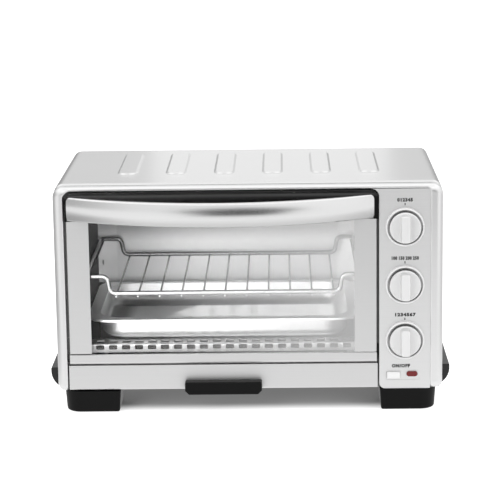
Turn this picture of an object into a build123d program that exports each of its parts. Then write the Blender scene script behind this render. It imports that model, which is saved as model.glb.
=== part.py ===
from build123d import *
import math
import os

os.makedirs("parts", exist_ok=True)

# A countertop toaster oven, in millimetres. The front faces -Y and +Z is up from the table.
# Depths run back from the face of the front trim, and heights run up from the table.

# Outer form
shell_width = 400
shell_depth = 230
top_z = 241
shell_bottom_z = 23
shell_corner = 10
sheet = 1
hem = 3
hem_depth = 4.5
hem_edge = 2.6
handle_reach = 46
rear_bulge = 8
half_shell = shell_width / 2
front_y = (handle_reach - rear_bulge - shell_depth) / 2

# Ribs pressed up out of the top
rib_count = 6
rib_pitch = 51
rib_length = 138
rib_width = 22
rib_rise = 1.6
rib_slope = 55
rib_middle = 134
rib_edge = 1.2

# Cooling slots in the right side and the rear
vent_width = 4
side_vent_length = 34
side_vent_count = 6
side_vent_pitch = 9
side_vent_middle = (186, 60)
rear_vent_length = 38
rear_vent_count = 10
rear_vent_pitch = 12
rear_vent_middle = (157, 145)

# Front trim, a hollow rounded channel
trim_depth = 13
trim_wall = 1.2
trim_front_wall = 2.2
trim_proud = 0.6
trim_drop = 2.4
trim_corner = 10
trim_foot_corner = 8
trim_edge = 7
trim_shoulder = 4.2
trim_shoulder_wall = 3.9
trim_inner_edge = 1.6
trim_bottom_z = 23.2
half_trim = half_shell + trim_proud
trim_top_z = top_z - trim_drop
mouth_left = -189.8
mouth_right = 187.6
mouth_top_z = 234.5
mouth_corner = 8
mouth_right_corner = 3

# Front plate behind the trim, and the base
plate_front = trim_depth
plate_back = plate_front + sheet
lining_gap = 0.4
half_lining = half_shell - sheet - lining_gap
half_plate = half_shell - hem - lining_gap
plate_top_z = top_z - hem - lining_gap
plate_corner = shell_corner - hem
base_z = 21.5
base_flange = 12
base_bend = 2
hem_bottom_z = base_z + base_flange + lining_gap
base_back = shell_depth - sheet
base_vent_middle = (160, 120)
base_vent_count = 7
base_vent_length = 40

# Door
door_left = -187.2
door_right = 132.2
door_width = door_right - door_left
door_middle = (door_left + door_right) / 2
door_bottom_z = 51.6
door_face = 1.4
door_skin = 1.2
glass_thickness = 4
glass_front = door_face + door_skin
glass_back = glass_front + glass_thickness
glass_bottom_z = 57.8
glass_top_z = 216
stile_width = 23
stile_clip = 13
stile_bottom_z = 63.2
stile_top_z = 203.5
rail_face = 1.2
rail_back = 9
rail_top_z = 62
rail_lip_z = 61.2
rail_corner = 3
hinge_depth = 5.5
hinge_z = 55.4
pin_r = 1.6
pin_play = 0.05
pin_in_rail = 14
pin_reach = 7.5

# Handle and its black base
base_bar_left = -188.2
base_bar_right = 134.2
base_bar_bottom_z = 203.8
base_bar_top_z = 233
base_bar_back = 8
base_bar_front = 1
base_bar_shelf_z = 225
base_bar_slope_z = 230
base_bar_brow = 4.5
base_bar_corner = 8
left_end_block = 2
right_end_block = 4.6
end_block_front = -0.4
handle_left = base_bar_left + left_end_block
handle_right = base_bar_right - right_end_block
handle_bottom_z = 204.3
handle_height = 24.7
handle_end = -1.6
handle_crown = 2.2
handle_fold = 7
handle_edge = 2.2
handle_sweep = 34
handle_skin = 1.3
handle_trim = 0.05
handle_corner = 4.5
handle_foot_corner = 2
handle_screw_inset = 12
handle_screw_z = 220.5

# Oven cavity
cavity_middle = door_middle
cavity_width = 292
cavity_left = cavity_middle - cavity_width / 2
cavity_right = cavity_middle + cavity_width / 2
cavity_front = plate_back
cavity_end = 213.6
cavity_back_depth = 219
cavity_bevel = 21
cavity_bottom_z = 24.8
cavity_roof_z = 226
cavity_mouth_z = 48.6
sensor_slot = (6, 1.8)
sensor_slot_place = (-168.5, 115.5)
roof_press = 3
roof_press_margin = 26
rail_out = 9
rail_bend = 1.5
pan_rail_z = 92.8
rack_rail_z = 141

# Heaters, their end caps and the perforated guards over the lower two
heater_r = 4.5
heater_wall = 1.2
heater_reach = 8
heater_hole_r = 5.2
cap_r = 6.5
cap_length = 10.5
cap_seat = heater_reach - sheet
lower_heater_z = 63
upper_heater_z = 213
heater_places = {
    "upper_front_heater": (62, upper_heater_z),
    "upper_rear_heater": (158, upper_heater_z),
    "lower_front_heater": (27.5, lower_heater_z),
    "lower_rear_heater": (190, lower_heater_z),
}
guard_width = 24
guard_top_z = 70.6
guard_bottom_z = 61.1
guard_sheet = 0.8
guard_bend = 2.5
guard_hole_count = 20
guard_hole_pitch = 13.6
guard_hole_width = 8.8
guard_hole_corner = 1.2
guard_front_hole = 4.7
guard_front_hole_z = 66.6
guard_top_hole = 11
guard_top_setback = 8.5

# Control column
panel_left = 134.8
panel_right = mouth_right
panel_bottom_z = 23.2
panel_top_z = mouth_top_z
panel_face = 1.8
panel_sheet = 1.2
panel_back = panel_face + panel_sheet
panel_corner = 6
window_left = 138
window_right = 183
window_bottom_z = 28
window_top_z = 222
knob_x = 161.3
knob_heights = {"function": 194.7, "temperature": 134.2, "shade": 75.3}
knob_r = 16.2
knob_back = 0.8
knob_disc = 8
knob_hollow_r = 14.2
knob_hollow = 5.2
knob_hub_r = 5.5
knob_edge = 1.5
grip_width = 11
grip_height = 11
grip_taper = 5
grip_corner = 2.5
grip_edge = 1.2
bezel_r = 20
bezel_bore_r = 17.8
bezel_front = -3.2
bezel_edge = 1
neck_r = 4.8
neck_front = -0.8
nut_r = 7
nut_front = -0.3
shaft_r = 3
shaft_play = 0.05
shaft_flat = 1
shaft_front = -10.5
shaft_flat_end = 0.4
shaft_back = 26
bore_back = 27
control_front = 17
control_sizes = {"function": (36, 36, 18), "temperature": (44, 28, 24), "shade": (44, 46, 36)}
control_names = {"function": "function_switch", "temperature": "thermostat", "shade": "shade_timer"}

# Start button, its switch and the lamp
button_x = 149.5
button_z = 37.7
button_width = 13.6
button_height = 6.8
button_gap = 0.4
button_front = -1
button_flange_front = 3.4
button_flange = 1.5
button_back = 5.2
stem_r = 2.2
stem_back = 14
stem_hole_r = 3
lamp_x = 168.8
lamp_z = 38.7
lens_width = 11.6
lens_height = 5.4
lens_front = 0.6
lens_flange = 1.5
lens_back = 4.4
lamp_r = 2
lamp_back = 22
recess_width = 37
recess_height = 11
recess_corner = 3
recess_depth = 0.5
carrier_back = 15.4
carrier_top_z = 50
carrier_bottom_z = 25
switch_size = (19, 18)
switch_back = 30
switch_pocket = 2.5

# Lower front panel
lower_face = 1.5
lower_left = -188.4
lower_right = 133
lower_top_z = 50.5
lower_bottom_z = 24.4
lower_sill = 13
lower_return = 8
lower_bend = 1.6

# Crumb tray and its pull
tray_half_width = 133
tray_front = 9
tray_back = 212
tray_z = 23
tray_sheet = 0.8
tray_hem = 3
tray_hem_rise = 0.3
tray_tab_half_width = 38
tray_tab_front = 0.2
tray_tab_top_z = 33.2
pull_half_width = 40
pull_top_z = 34.5
pull_bottom_z = 21
pull_front = -10.8
pull_corner = 4
pull_top_corner = 2
pull_edge = 2
pull_wall = 3

# Rack
rack_half_width = 142.5
rack_front = 11.8
rack_back = 209.5
rack_bed_z = 125.6
rack_side_z = 143.6
rack_wire_r = 2.3
rack_left_hump = 23
rack_right_hump = 17.9
rack_slope = 3
rack_bend = 6.5
cross_wire_r = 1
cross_wire_count = 11
cross_wire_pitch = 22.6
cross_wire_bite = 0.3
cross_wire_stub = 2

# Baking pan
pan_half_width = 132
rim_half_width = 143
pan_front = 18
pan_back = 205
pan_rim_z = 95.4
pan_depth = 24
pan_flare = 8
pan_corner = 28
rim_corner = 24
pan_floor_r = 10
pan_sheet = 1
rim_roll = 2.3
rim_roll_width = 2

# Feet and side bumpers
foot_left = -194.6
foot_right = -135.2
foot_front = 1
foot_back = 50
foot_top_z = 22.9
foot_step = 9.8
foot_taper = 4
foot_plan_corner = 18
foot_corner = 3
foot_edge = 2.5
rear_foot_right = -150
rear_foot_front = 184
rear_foot_back = 222
bumper_front = 17
bumper_length = 110
bumper_out = 9
bumper_top_z = 45
bumper_flank = 4
bumper_bottom_z = 24.8
bumper_edge = 1.2

# Hinge brackets
bracket_sheet = 1.5
bracket_bottom_z = 51
bracket_top_z = 72
bracket_foot = 1.2
left_bracket_x = -193.2
left_bracket_front = 2.4
right_bracket_x = 134.9
right_bracket_front = 3.2
bracket_foot_width = 6.5
pin_hole_r = 3
pin_hole_depth = 6

# Heat shield, cut-out and terminal block
shield_x = 132
shield_flange = 10
shield_bottom_z = 30
shield_top_z = 225
shield_bend = 2
cutout_r = 7
cutout_length = 8
cutout_place = (110, 160)
block_size = (34, 18)
block_place = (160, 198)
block_height = 17

# Rear panel
bulge_width = 250
bulge_height = 140
bulge_z = 132
bulge_corner = 16
bulge_slope = 35
bushing_place = (157, 45)
bushing_r = 6.8
bushing_bore_r = 3.75
bushing_flange_r = 9.5
bushing_flange = 3
bushing_inner = 6
screw_r = 1.5
screw_head_r = 3.5
screw_head = 2.2
screw_taper = 17.5
screw_length = 9
screw_places = [(-188, 60), (188, 60), (-188, 200), (188, 200), (-150, 230), (150, 230)]


def upright(depth):
    """Plane that faces the front; its axes are X and height."""
    return Plane(origin=(0, front_y + depth, 0), x_dir=(1, 0, 0), z_dir=(0, -1, 0))


def level(height):
    """Plane that faces up; its axes are X and depth."""
    return Plane(origin=(0, front_y, height), x_dir=(1, 0, 0), z_dir=(0, 0, 1))


def side_on(x):
    """Plane that faces right; its axes are depth and height."""
    return Plane(origin=(x, front_y, 0), x_dir=(0, 1, 0), z_dir=(1, 0, 0))


def arch(left, right, bottom, top, left_corner, right_corner, foot=0):
    """Upright outline with rounded shoulders and, where wanted, rounded feet."""
    with BuildSketch() as outline:
        with BuildLine():
            FilletPolyline(
                (left, bottom),
                (left, top),
                (right, top),
                (right, bottom),
                radius=[foot, left_corner, right_corner, foot],
                close=True,
            )
        make_face()
    return outline.sketch


def save(piece, name):
    """Name a finished piece and write it out."""
    piece.part.label = name
    export_step(piece.part, f"parts/{name}.step")


# Outer shell: one sheet folded over the top and down both sides, with a rounded hem along its front edge
with BuildPart() as outer_shell:
    with BuildSketch(upright(trim_depth)):
        with BuildLine():
            FilletPolyline(
                (-half_shell, shell_bottom_z),
                (-half_shell, top_z),
                (half_shell, top_z),
                (half_shell, shell_bottom_z),
                radius=shell_corner,
            )
            offset(amount=sheet, side=Side.RIGHT)
        make_face()
    extrude(amount=-(shell_depth - sheet - trim_depth))
    with BuildSketch(upright(trim_depth)):
        add(arch(-half_shell, half_shell, hem_bottom_z, top_z, shell_corner, shell_corner))
        add(
            arch(
                -half_shell + hem,
                half_shell - hem,
                0,
                top_z - hem,
                shell_corner - hem,
                shell_corner - hem,
            ),
            mode=Mode.SUBTRACT,
        )
    extrude(amount=-hem_depth)
    front_edges = outer_shell.edges().filter_by_position(Axis.Y, front_y + trim_depth, front_y + trim_depth)
    outer_edges = front_edges.filter_by(
        lambda edge: max(abs(edge.center().X) - half_shell, edge.center().Z - top_z) > -hem / 2
    )
    fillet(outer_edges.filter_by_position(Axis.Z, hem_bottom_z, top_z), hem_edge)
    with BuildSketch(level(top_z)):
        with Locations((0, rib_middle)):
            with GridLocations(rib_pitch, 0, rib_count, 1):
                SlotOverall(rib_length, rib_width, rotation=90)
    extrude(amount=rib_rise, taper=rib_slope)
    with BuildSketch(level(top_z - sheet)):
        with Locations((0, rib_middle)):
            with GridLocations(rib_pitch, 0, rib_count, 1):
                SlotOverall(rib_length - sheet, rib_width - sheet, rotation=90)
    extrude(amount=rib_rise, taper=rib_slope, mode=Mode.SUBTRACT)
    crest_z = top_z + rib_rise
    fillet(outer_shell.edges().filter_by_position(Axis.Z, crest_z, crest_z), rib_edge)
    with BuildSketch(side_on(half_shell)):
        with Locations(side_vent_middle):
            with GridLocations(side_vent_pitch, 0, side_vent_count, 1):
                SlotOverall(side_vent_length, vent_width, rotation=90)
    extrude(amount=-2 * sheet, mode=Mode.SUBTRACT)
save(outer_shell, "outer_shell")

# Front trim: a rounded channel round the left, top and right, open at the back
with BuildPart() as front_trim:
    with BuildSketch(upright(0)):
        add(
            arch(
                -half_trim,
                half_trim,
                trim_bottom_z,
                trim_top_z,
                trim_corner,
                trim_corner,
                trim_foot_corner,
            )
        )
    extrude(amount=-trim_depth)
    fillet(front_trim.faces().sort_by(Axis.Y)[0].edges(), trim_edge)
    with BuildSketch(upright(0)):
        add(arch(mouth_left, mouth_right, 0, mouth_top_z, mouth_corner, mouth_right_corner))
    extrude(amount=-trim_depth, mode=Mode.SUBTRACT)
    front_edges = front_trim.edges().filter_by_position(Axis.Y, front_y, front_y + trim_edge / 2)
    mouth_edges = front_edges.filter_by_position(Axis.X, mouth_left, mouth_right)
    fillet(mouth_edges.filter_by_position(Axis.Z, trim_bottom_z, mouth_top_z), trim_inner_edge)
    for wall, front_wall in ((trim_wall, trim_shoulder), (trim_shoulder_wall, trim_front_wall)):
        with BuildSketch(upright(trim_depth)):
            add(
                arch(
                    -half_trim + wall,
                    half_trim - wall,
                    trim_bottom_z + wall,
                    trim_top_z - wall,
                    trim_corner - wall,
                    trim_corner - wall,
                    trim_foot_corner - wall,
                )
            )
            add(
                arch(
                    mouth_left - trim_wall,
                    mouth_right + trim_wall,
                    0,
                    mouth_top_z + trim_wall,
                    mouth_corner + trim_wall,
                    mouth_right_corner + trim_wall,
                ),
                mode=Mode.SUBTRACT,
            )
        extrude(amount=trim_depth - front_wall, mode=Mode.SUBTRACT)
    with BuildSketch(side_on(mouth_left)):
        with Locations((hinge_depth, hinge_z)):
            Circle(pin_hole_r)
    extrude(amount=-pin_hole_depth, mode=Mode.SUBTRACT)
save(front_trim, "front_trim")

# Front plate: closes the front behind the trim, with the cavity mouth, the control window and the tray slot
with BuildPart() as front_plate:
    with BuildSketch(upright(plate_front)):
        add(arch(-half_plate, half_plate, shell_bottom_z, plate_top_z, plate_corner, plate_corner))
        with Locations((cavity_middle, (cavity_mouth_z + cavity_roof_z) / 2)):
            Rectangle(cavity_width, cavity_roof_z - cavity_mouth_z, mode=Mode.SUBTRACT)
        with Locations(((window_left + window_right) / 2, (window_bottom_z + window_top_z) / 2)):
            RectangleRounded(
                window_right - window_left, window_top_z - window_bottom_z, panel_corner, mode=Mode.SUBTRACT
            )
        with Locations((cavity_middle, shell_bottom_z)):
            Rectangle(cavity_width, 2 * (cavity_bottom_z - shell_bottom_z), mode=Mode.SUBTRACT)
    extrude(amount=-sheet)
save(front_plate, "front_plate")

# Control panel, with its shaft holes and the recess that holds the button and the lamp
with BuildPart() as control_panel:
    with BuildSketch(upright(panel_face)):
        with BuildLine():
            FilletPolyline(
                (panel_left, panel_bottom_z),
                (panel_left, panel_top_z),
                (panel_right, panel_top_z),
                (panel_right, panel_bottom_z),
                radius=[panel_corner, 0, mouth_right_corner, 1],
                close=True,
            )
        make_face()
        with Locations((panel_left - mouth_corner / 2, panel_top_z - mouth_corner / 2)):
            Rectangle(mouth_corner, mouth_corner)
        with Locations((panel_left - mouth_corner, panel_top_z - mouth_corner)):
            Circle(mouth_corner, mode=Mode.SUBTRACT)
        with Locations([(knob_x, height) for height in knob_heights.values()]):
            Circle(neck_r, mode=Mode.SUBTRACT)
        with Locations((button_x, button_z)):
            Rectangle(button_width + 2 * button_gap, button_height + 2 * button_gap, mode=Mode.SUBTRACT)
        with Locations((lamp_x, lamp_z)):
            SlotOverall(lens_width, lens_height, mode=Mode.SUBTRACT)
    extrude(amount=-panel_sheet)
    with BuildSketch(upright(panel_face)):
        with Locations(((button_x + lamp_x) / 2, button_z)):
            RectangleRounded(recess_width, recess_height, recess_corner)
    extrude(amount=-recess_depth, mode=Mode.SUBTRACT)
save(control_panel, "control_panel")

# Lower front panel, folded back into a sill under the door and a return over the crumb tray
with BuildPart() as lower_front_panel:
    with BuildSketch(side_on(lower_left)):
        with BuildLine():
            FilletPolyline(
                (lower_sill, lower_top_z),
                (lower_face, lower_top_z),
                (lower_face, lower_bottom_z),
                (lower_return, lower_bottom_z),
                radius=lower_bend,
            )
            offset(amount=sheet, side=Side.LEFT)
        make_face()
    extrude(amount=lower_right - lower_left)
save(lower_front_panel, "lower_front_panel")

# Rear panel: closes the shell, pushed out behind the cavity and slotted behind the controls
with BuildPart() as rear_panel:
    with BuildSketch(upright(shell_depth)):
        add(arch(-half_shell, half_shell, shell_bottom_z, top_z, shell_corner, shell_corner))
    extrude(amount=sheet)
    with BuildSketch(upright(shell_depth)):
        with Locations((cavity_middle, bulge_z)):
            RectangleRounded(bulge_width, bulge_height, bulge_corner)
    extrude(amount=-rear_bulge, taper=bulge_slope)
    with BuildSketch(upright(shell_depth - sheet)):
        with Locations((cavity_middle, bulge_z)):
            RectangleRounded(bulge_width - sheet, bulge_height - sheet, bulge_corner - sheet / 2)
    extrude(amount=-rear_bulge, taper=bulge_slope, mode=Mode.SUBTRACT)
    with BuildSketch(upright(shell_depth)):
        with Locations(rear_vent_middle):
            with GridLocations(0, rear_vent_pitch, 1, rear_vent_count):
                SlotOverall(rear_vent_length, vent_width)
        with Locations(bushing_place):
            Circle(bushing_r)
        with Locations(screw_places):
            Circle(screw_r)
    extrude(amount=sheet, mode=Mode.SUBTRACT)
save(rear_panel, "rear_panel")

# Base plate, with upturned sides inside the shell and slots under the controls
with BuildPart() as base_plate:
    with BuildSketch(upright(plate_back)):
        with BuildLine():
            FilletPolyline(
                (-half_lining, base_z + base_flange),
                (-half_lining, base_z),
                (half_lining, base_z),
                (half_lining, base_z + base_flange),
                radius=base_bend,
            )
            offset(amount=sheet, side=Side.LEFT)
        make_face()
    extrude(amount=-(base_back - plate_back))
    with BuildSketch(level(base_z)):
        with Locations(base_vent_middle):
            with GridLocations(0, rear_vent_pitch, 1, base_vent_count):
                SlotOverall(base_vent_length, vent_width)
    extrude(amount=sheet, mode=Mode.SUBTRACT)
save(base_plate, "base_plate")

# Cavity side walls, each pressed in to form the two rails
with BuildPart() as cavity_left_wall:
    with BuildSketch(upright(cavity_front)):
        with BuildLine():
            FilletPolyline(
                (cavity_left, cavity_bottom_z),
                (cavity_left, pan_rail_z - rail_out),
                (cavity_left + rail_out, pan_rail_z),
                (cavity_left, pan_rail_z),
                (cavity_left, rack_rail_z - rail_out),
                (cavity_left + rail_out, rack_rail_z),
                (cavity_left, rack_rail_z),
                (cavity_left, cavity_roof_z),
                radius=rail_bend,
            )
            offset(amount=sheet, side=Side.LEFT)
        make_face()
    extrude(amount=-(cavity_end - cavity_front))
    with BuildSketch(side_on(cavity_left)):
        with Locations(list(heater_places.values())):
            Circle(heater_hole_r)
    extrude(amount=-2 * sheet, mode=Mode.SUBTRACT)
save(cavity_left_wall, "cavity_left_wall")

with BuildPart() as cavity_right_wall:
    mirror(cavity_left_wall.part, about=Plane.YZ.offset(cavity_middle))
save(cavity_right_wall, "cavity_right_wall")

# Cavity roof, pressed up in the middle
with BuildPart() as cavity_roof:
    with BuildSketch(level(cavity_roof_z)):
        with Locations((cavity_middle, (cavity_front + cavity_end) / 2)):
            Rectangle(cavity_width, cavity_end - cavity_front)
    extrude(amount=sheet)
    with BuildSketch(level(cavity_roof_z + sheet)):
        with Locations((cavity_middle, (cavity_front + cavity_end) / 2)):
            RectangleRounded(
                cavity_width - 2 * roof_press_margin,
                cavity_end - cavity_front - 2 * roof_press_margin,
                bulge_corner,
            )
    extrude(amount=roof_press, taper=bulge_slope)
    with BuildSketch(level(cavity_roof_z)):
        with Locations((cavity_middle, (cavity_front + cavity_end) / 2)):
            RectangleRounded(
                cavity_width - 2 * roof_press_margin - sheet,
                cavity_end - cavity_front - 2 * roof_press_margin - sheet,
                bulge_corner - sheet / 2,
            )
    extrude(amount=roof_press, taper=bulge_slope, mode=Mode.SUBTRACT)
save(cavity_roof, "cavity_roof")

# Cavity back, with bevelled corners and a slot for the thermostat's feeler
with BuildPart() as cavity_back:
    with BuildSketch(level(cavity_bottom_z)):
        with BuildLine():
            FilletPolyline(
                (cavity_left, cavity_end),
                (cavity_left + cavity_bevel, cavity_back_depth),
                (cavity_right - cavity_bevel, cavity_back_depth),
                (cavity_right, cavity_end),
                radius=base_bend,
            )
            offset(amount=sheet, side=Side.LEFT)
        make_face()
    extrude(amount=cavity_roof_z + sheet - cavity_bottom_z)
    with BuildSketch(upright(cavity_end - sheet)):
        with Locations(sensor_slot_place):
            SlotOverall(*sensor_slot, rotation=90)
    extrude(amount=-cavity_bevel, mode=Mode.SUBTRACT)
save(cavity_back, "cavity_back")

# Heater tubes, each across the cavity and through both walls
heater_left = cavity_left - heater_reach
heater_length = cavity_width + 2 * heater_reach
for heater_name, heater_place in heater_places.items():
    with BuildPart() as heater:
        with BuildSketch(side_on(heater_left)):
            with Locations(heater_place):
                Circle(heater_r)
                Circle(heater_r - heater_wall, mode=Mode.SUBTRACT)
        extrude(amount=heater_length)
    save(heater, heater_name)

# Ceramic caps on the heater ends, outside the cavity
with BuildPart() as heater_end_caps:
    with BuildSketch(side_on(heater_left + cap_seat - cap_length)):
        with Locations(list(heater_places.values())):
            Circle(cap_r)
    extrude(amount=cap_length)
    with BuildSketch(side_on(heater_left)):
        with Locations(list(heater_places.values())):
            Circle(heater_r)
    extrude(amount=cap_seat, mode=Mode.SUBTRACT)
    mirror(about=Plane.YZ.offset(cavity_middle))
save(heater_end_caps, "heater_end_caps")


def element_guard(middle):
    """Perforated channel over a lower heater, from wall to wall."""
    front = middle - guard_width / 2
    back = middle + guard_width / 2
    with BuildPart() as guard:
        with BuildSketch(side_on(cavity_left)):
            with BuildLine():
                FilletPolyline(
                    (front, guard_bottom_z),
                    (front, guard_top_z),
                    (back, guard_top_z),
                    (back, guard_bottom_z),
                    radius=guard_bend,
                )
                offset(amount=guard_sheet, side=Side.RIGHT)
            make_face()
        extrude(amount=cavity_width)
        with BuildSketch(upright(front)):
            with Locations((cavity_middle, guard_front_hole_z)):
                with GridLocations(guard_hole_pitch, 0, guard_hole_count, 1):
                    RectangleRounded(guard_hole_width, guard_front_hole, guard_hole_corner)
        extrude(amount=-2 * guard_sheet, mode=Mode.SUBTRACT)
        with BuildSketch(level(guard_top_z)):
            with Locations((cavity_middle, front + guard_top_setback)):
                with GridLocations(guard_hole_pitch, 0, guard_hole_count, 1):
                    RectangleRounded(guard_hole_width, guard_top_hole, guard_hole_corner)
        extrude(amount=-2 * guard_sheet, mode=Mode.SUBTRACT)
    return guard


save(element_guard(heater_places["lower_front_heater"][0]), "front_element_guard")
save(element_guard(heater_places["lower_rear_heater"][0]), "rear_element_guard")

# Heat shield between the cavity and the controls, flanged to the front plate
with BuildPart() as heat_shield:
    with BuildSketch(level(shield_bottom_z)):
        with BuildLine():
            FilletPolyline(
                (shield_x - shield_flange, plate_back),
                (shield_x, plate_back),
                (shield_x, cavity_end),
                radius=shield_bend,
            )
            offset(amount=sheet, side=Side.LEFT)
        make_face()
    extrude(amount=shield_top_z - shield_bottom_z)
save(heat_shield, "heat_shield")

# Thermal cut-out on the shield, and the terminal block on the base
with BuildPart() as thermal_cutout:
    with BuildSketch(side_on(shield_x)):
        with Locations(cutout_place):
            Circle(cutout_r)
    extrude(amount=cutout_length)
    fillet(thermal_cutout.faces().sort_by(Axis.X)[-1].edges(), bezel_edge)
save(thermal_cutout, "thermal_cutout")

with BuildPart() as terminal_block:
    with BuildSketch(level(base_z + sheet)):
        with Locations(block_place):
            Rectangle(*block_size)
    extrude(amount=block_height)
    with BuildSketch(level(base_z + sheet + block_height)):
        with Locations(block_place):
            with GridLocations(block_size[0] / 3, 0, 3, 1):
                Circle(shaft_r)
    extrude(amount=-block_height / 2, mode=Mode.SUBTRACT)
save(terminal_block, "terminal_block")

# Rubber bushing in the rear panel, where the mains lead goes in
with BuildPart() as cord_bushing:
    with BuildSketch(upright(shell_depth + bushing_flange)):
        with Locations(bushing_place):
            Circle(bushing_flange_r)
    extrude(amount=bushing_flange, taper=-bulge_slope / 3)
    with BuildSketch(upright(shell_depth)):
        with Locations(bushing_place):
            Circle(bushing_r)
    extrude(amount=bushing_inner)
    with BuildSketch(upright(shell_depth + bushing_flange)):
        with Locations(bushing_place):
            Circle(bushing_bore_r)
    extrude(amount=bushing_flange + bushing_inner, mode=Mode.SUBTRACT)
save(cord_bushing, "cord_bushing")


def d_section(place, radius):
    """Round shaft section with one flat, at a place on an upright plane."""
    with BuildSketch() as section:
        with Locations(place):
            Circle(radius)
        with Locations((place[0], place[1] + 2 * radius - shaft_flat)):
            Rectangle(2 * radius, 2 * radius, mode=Mode.SUBTRACT)
    return section.sketch


def control_body(height, size):
    """Housing of a rotary control behind the panel, with its threaded neck and shaft bore."""
    width, tall, length = size
    with BuildPart() as body:
        with BuildSketch(upright(control_front)):
            with Locations((knob_x, height)):
                RectangleRounded(width, tall, recess_corner)
        extrude(amount=-length)
        with BuildSketch(upright(control_front)):
            with Locations((knob_x, height)):
                Circle(neck_r)
        extrude(amount=control_front - neck_front)
        with BuildSketch(upright(neck_front)):
            with Locations((knob_x, height)):
                Circle(shaft_r + shaft_play)
        extrude(amount=-(bore_back - neck_front), mode=Mode.SUBTRACT)
    return body


def control_shaft(height):
    """Shaft of a rotary control: round in the neck, flat on one side in the knob."""
    with BuildPart() as shaft:
        with BuildSketch(upright(shaft_back)):
            with Locations((knob_x, height)):
                Circle(shaft_r)
        extrude(amount=shaft_back - shaft_flat_end)
        with BuildSketch(upright(shaft_flat_end)):
            add(d_section((knob_x, height), shaft_r))
        extrude(amount=shaft_flat_end - shaft_front)
    return shaft


def control_knob(height):
    """Round knob with a raised grip bar, hollow behind, with a hub on the shaft's flat."""
    grip_foot = knob_back - knob_disc
    with BuildPart() as knob:
        with BuildSketch(upright(knob_back)):
            with Locations((knob_x, height)):
                Circle(knob_r)
        extrude(amount=knob_disc)
        fillet(knob.faces().sort_by(Axis.Y)[0].edges(), knob_edge)
        with BuildSketch(upright(grip_foot)) as grip:
            with Locations((knob_x, height)):
                Circle(knob_r - knob_edge)
                Rectangle(grip_width, 2 * knob_r, mode=Mode.INTERSECT)
            fillet(grip.vertices(), grip_corner)
        extrude(amount=grip_height, taper=grip_taper)
        fillet(knob.faces().sort_by(Axis.Y)[0].edges(), grip_edge)
        with BuildSketch(upright(knob_back)):
            with Locations((knob_x, height)):
                Circle(knob_hollow_r)
                Circle(knob_hub_r, mode=Mode.SUBTRACT)
        extrude(amount=knob_hollow, mode=Mode.SUBTRACT)
        with BuildSketch(upright(knob_back)):
            with Locations((knob_x, height)):
                Circle(knob_hub_r)
        extrude(amount=knob_back - neck_front + lining_gap, mode=Mode.SUBTRACT)
        with BuildSketch(upright(knob_back)):
            add(d_section((knob_x, height), shaft_r))
        extrude(amount=knob_back - shaft_front, mode=Mode.SUBTRACT)
    return knob


for control, height in knob_heights.items():
    save(control_body(height, control_sizes[control]), control_names[control])
    save(control_shaft(height), f"{control}_shaft")
    save(control_knob(height), f"{control}_knob")

# Nuts that hold the control necks to the panel, under the knobs
with BuildPart() as control_nuts:
    with BuildSketch(upright(panel_face)):
        with Locations([(knob_x, height) for height in knob_heights.values()]):
            RegularPolygon(nut_r, 6)
            Circle(neck_r, mode=Mode.SUBTRACT)
    extrude(amount=panel_face - nut_front)
save(control_nuts, "control_nuts")

# Bright rings on the panel, one round each knob
with BuildPart() as knob_bezels:
    with BuildSketch(upright(panel_face)):
        with Locations([(knob_x, height) for height in knob_heights.values()]):
            Circle(bezel_r)
            Circle(bezel_bore_r, mode=Mode.SUBTRACT)
    extrude(amount=panel_face - bezel_front)
    fillet(knob_bezels.faces().group_by(Axis.Y)[0].edges(), bezel_edge)
save(knob_bezels, "knob_bezels")

# Start button: cap, flange behind the panel and stem
with BuildPart() as start_button:
    with BuildSketch(upright(button_front)):
        with Locations((button_x, button_z)):
            RectangleRounded(button_width, button_height, bezel_edge)
    extrude(amount=-(button_back - button_front))
    fillet(start_button.faces().sort_by(Axis.Y)[0].edges(), button_gap)
    with BuildSketch(upright(button_flange_front)):
        with Locations((button_x, button_z)):
            Rectangle(button_width + 2 * button_flange, button_height + 2 * button_flange)
    extrude(amount=-(button_back - button_flange_front))
    with BuildSketch(upright(button_back)):
        with Locations((button_x, button_z)):
            Circle(stem_r)
    extrude(amount=-(stem_back - button_back))
save(start_button, "start_button")

# Carrier behind the front plate, which holds the start switch and the lamp
with BuildPart() as switch_carrier:
    with BuildSketch(upright(plate_back)):
        with Locations(((panel_left + panel_right) / 2, (carrier_bottom_z + carrier_top_z) / 2)):
            RectangleRounded(panel_right - panel_left, carrier_top_z - carrier_bottom_z, recess_corner)
        with Locations((button_x, button_z)):
            Circle(stem_hole_r, mode=Mode.SUBTRACT)
        with Locations((lamp_x, lamp_z)):
            Circle(lamp_r, mode=Mode.SUBTRACT)
    extrude(amount=-(carrier_back - plate_back))
save(switch_carrier, "switch_carrier")

with BuildPart() as start_switch:
    with BuildSketch(upright(carrier_back)):
        with Locations((button_x, button_z)):
            RectangleRounded(*switch_size, bezel_edge)
    extrude(amount=-(switch_back - carrier_back))
    with BuildSketch(upright(carrier_back)):
        with Locations((button_x, button_z)):
            Circle(stem_hole_r)
    extrude(amount=-switch_pocket, mode=Mode.SUBTRACT)
save(start_switch, "start_switch")

# Indicator: a red lens clipped behind the panel, and the lamp behind it
with BuildPart() as indicator_lens:
    with BuildSketch(upright(lens_front)):
        with Locations((lamp_x, lamp_z)):
            SlotOverall(lens_width, lens_height)
    extrude(amount=-(panel_back - lens_front))
    fillet(indicator_lens.faces().sort_by(Axis.Y)[0].edges(), button_gap)
    with BuildSketch(upright(panel_back)):
        with Locations((lamp_x, lamp_z)):
            SlotOverall(lens_width + 2 * lens_flange, lens_height + 2 * lens_flange)
    extrude(amount=-(lens_back - panel_back))
save(indicator_lens, "indicator_lens")

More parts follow.
